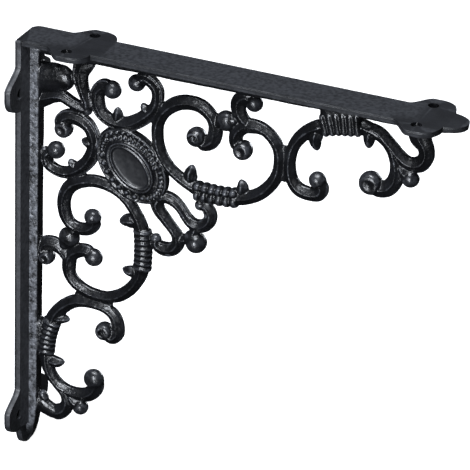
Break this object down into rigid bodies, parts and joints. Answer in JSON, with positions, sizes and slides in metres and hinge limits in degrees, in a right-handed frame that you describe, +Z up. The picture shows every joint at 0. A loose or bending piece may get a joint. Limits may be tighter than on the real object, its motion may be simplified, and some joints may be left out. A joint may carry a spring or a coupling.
{
  "type": "ornate shelf bracket",
  "caption": "Cast iron shelf bracket: an arm and a wall leg of T section, with scrollwork and an oval medallion in the angle, screwed on through ears.",
  "frame": {"origin": "on the wall face of the leg, in the bracket's mid-plane, level with the two upper wall screws", "axes": "+X out of the wall along the shelf arm, +Y along the wall, +Z up"},
  "size_m": [0.25, 0.05, 0.252],
  "materials": {
    "black_iron": "sand-cast iron under black satin paint, slightly mottled on the ribs"
  },
  "bodies": {
    "root": {"bracket": "black_iron"}
  },
  "joints": []
}
